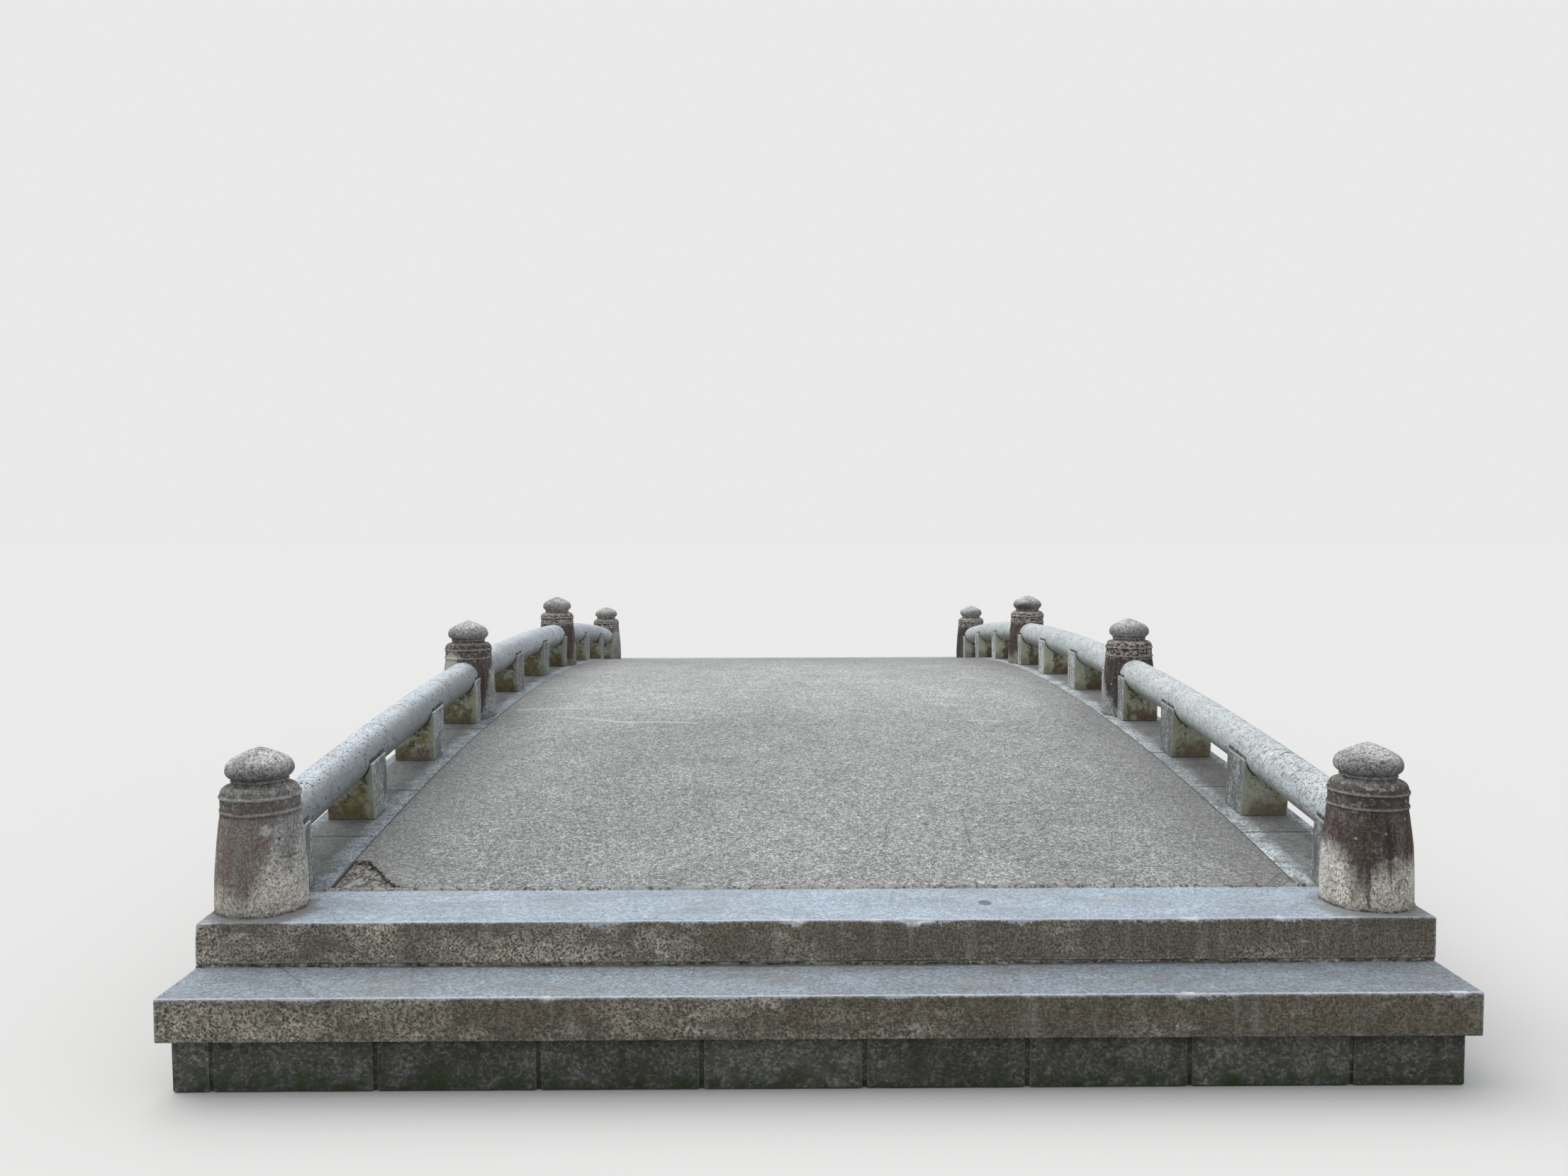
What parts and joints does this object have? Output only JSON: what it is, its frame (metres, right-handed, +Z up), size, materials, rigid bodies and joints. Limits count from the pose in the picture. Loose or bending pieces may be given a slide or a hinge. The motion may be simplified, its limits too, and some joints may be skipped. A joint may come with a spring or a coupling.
{
  "type": "arched stone footbridge",
  "caption": "Low arched garden footbridge in granite, with round stone rails held between turned newels, kerb stones, a paved deck, end steps and pier columns.",
  "frame": {"origin": "middle of the bridge in plan, at the foot of the piers and abutments (the water line)", "axes": "+X across the bridge to the right, +Y along it from the near end to the far end, +Z up"},
  "size_m": [4.3718, 10.084, 1.3322],
  "materials": {
    "newel_stone": "turned granite, weathered, dark stains over the shaft and shoulder",
    "rail_stone": "smooth pale speckled granite, weathered",
    "block_stone": "dressed granite with moss and brown stains",
    "kerb_stone": "blue-grey dressed granite",
    "paving": "fine exposed stone aggregate, worn",
    "structure_stone": "dressed granite, damp and stained",
    "sill_stone": "blue-grey dressed granite with worn front edge",
    "abutment_stone": "coursed masonry"
  },
  "bodies": {
    "root": {"newel_left_1": "newel_stone", "newel_left_2": "newel_stone", "newel_left_3": "newel_stone", "newel_left_4": "newel_stone", "newel_right_1": "newel_stone", "newel_right_2": "newel_stone", "newel_right_3": "newel_stone", "newel_right_4": "newel_stone", "rail_left_1": "rail_stone", "rail_left_2": "rail_stone", "rail_left_3": "rail_stone", "rail_right_1": "rail_stone", "rail_right_2": "rail_stone", "rail_right_3": "rail_stone", "rail_blocks_left_1": "block_stone", "rail_blocks_left_2": "block_stone", "rail_blocks_left_3": "block_stone", "rail_blocks_right_1": "block_stone", "rail_blocks_right_2": "block_stone", "rail_blocks_right_3": "block_stone", "kerb_left": "kerb_stone", "kerb_right": "kerb_stone", "paving_near": "paving", "paving_middle": "paving", "paving_far": "paving", "deck_slabs_near": "structure_stone", "deck_slabs_middle": "structure_stone", "deck_slabs_far": "structure_stone", "girders_near": "structure_stone", "girders_middle": "structure_stone", "girders_far": "structure_stone", "cap_beam_near": "structure_stone", "cap_beam_far": "structure_stone", "pier_columns_near": "structure_stone", "pier_columns_far": "structure_stone", "sill_near": "sill_stone", "sill_far": "sill_stone", "step_near": "sill_stone", "step_far": "sill_stone", "abutment_near": "abutment_stone", "abutment_far": "abutment_stone"}
  },
  "joints": []
}
